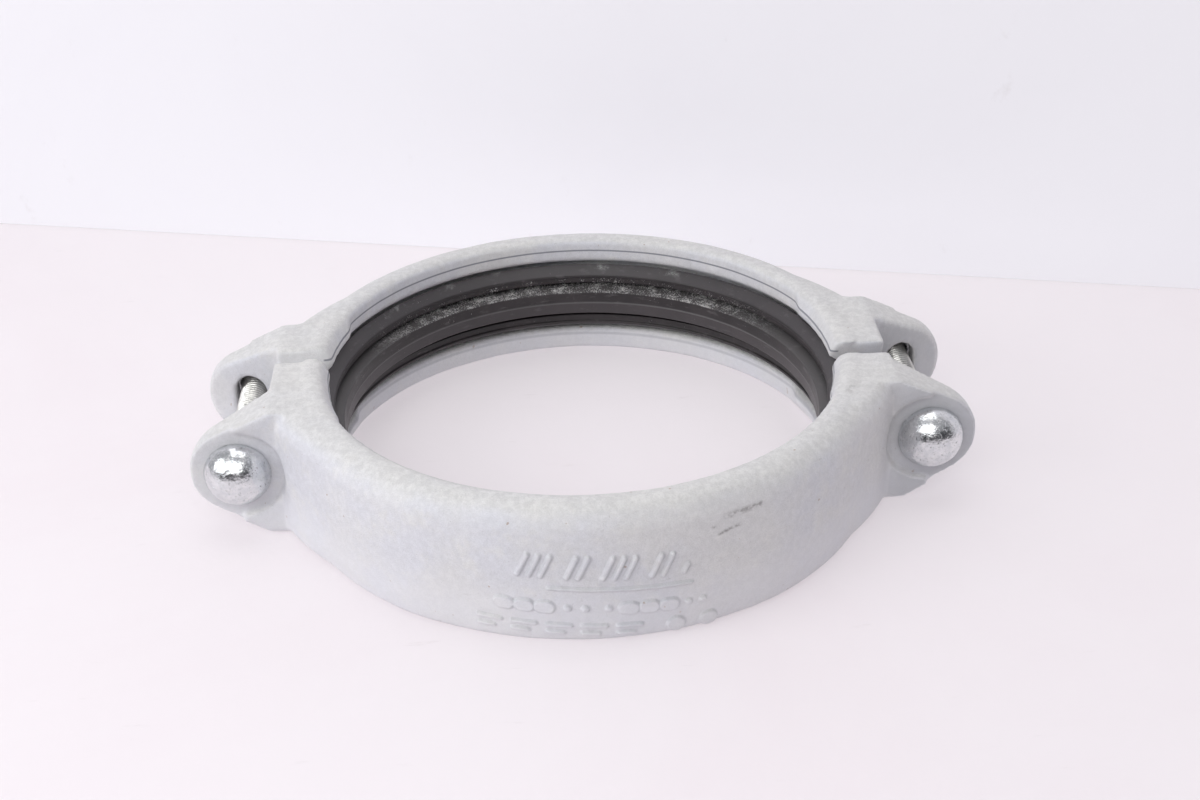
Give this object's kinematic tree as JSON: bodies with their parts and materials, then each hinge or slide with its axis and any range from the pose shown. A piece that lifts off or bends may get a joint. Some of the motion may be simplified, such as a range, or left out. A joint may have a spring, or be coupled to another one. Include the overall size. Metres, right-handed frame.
{
  "type": "grooved pipe coupling",
  "caption": "Galvanised cast pipe coupling: two half housings drawn together by track bolts around a C-section rubber gasket, to join grooved pipe ends.",
  "frame": {"origin": "centre of the bore at mid-height, half way between the bolt pads of the two halves as delivered", "axes": "+Z along the pipe; +X along the line through both bolts; +Y along the bolts from the heads to the nuts"},
  "size_m": [0.34, 0.2664, 0.0614],
  "materials": {
    "galvanised_casting": "hot-dip galvanised, satin light grey",
    "gasket_rubber": "moulded, semi-matte",
    "zinc_plated_bolt": "bright zinc plated",
    "zinc_plated_nut": "bright zinc plated"
  },
  "bodies": {
    "front": {"front_housing": "galvanised_casting", "left_bolt": "zinc_plated_bolt", "right_bolt": "zinc_plated_bolt"},
    "rear": {"rear_housing": "galvanised_casting"},
    "seal": {"gasket": "gasket_rubber"},
    "left_nut_body": {"left_nut": "zinc_plated_nut"},
    "right_nut_body": {"right_nut": "zinc_plated_nut"}
  },
  "joints": [
    {"name": "closing_slide", "type": "slide", "parent": "front", "child": "rear", "axis": [0, -1, 0], "range_m": [0, 0.0089]},
    {"name": "gasket_seating", "type": "slide", "parent": "front", "child": "seal", "axis": [0, -1, 0], "range_m": [0, 0.00445]},
    {"name": "left_nut_turn", "type": "hinge", "parent": "rear", "child": "left_nut_body", "pos_m": [-0.1495, 0.044, 0], "axis": [0, -1, 0], "range_deg": [0, 1640]},
    {"name": "right_nut_turn", "type": "hinge", "parent": "rear", "child": "right_nut_body", "pos_m": [0.1495, 0.044, 0], "axis": [0, -1, 0], "range_deg": [0, 1640]}
  ],
  "couplings": [
    {"joint": "gasket_seating", "follows": "closing_slide", "ratio": 0.5},
    {"joint": "left_nut_turn", "follows": "closing_slide", "rad_per_m": 3215.8},
    {"joint": "right_nut_turn", "follows": "closing_slide", "rad_per_m": 3215.8}
  ]
}
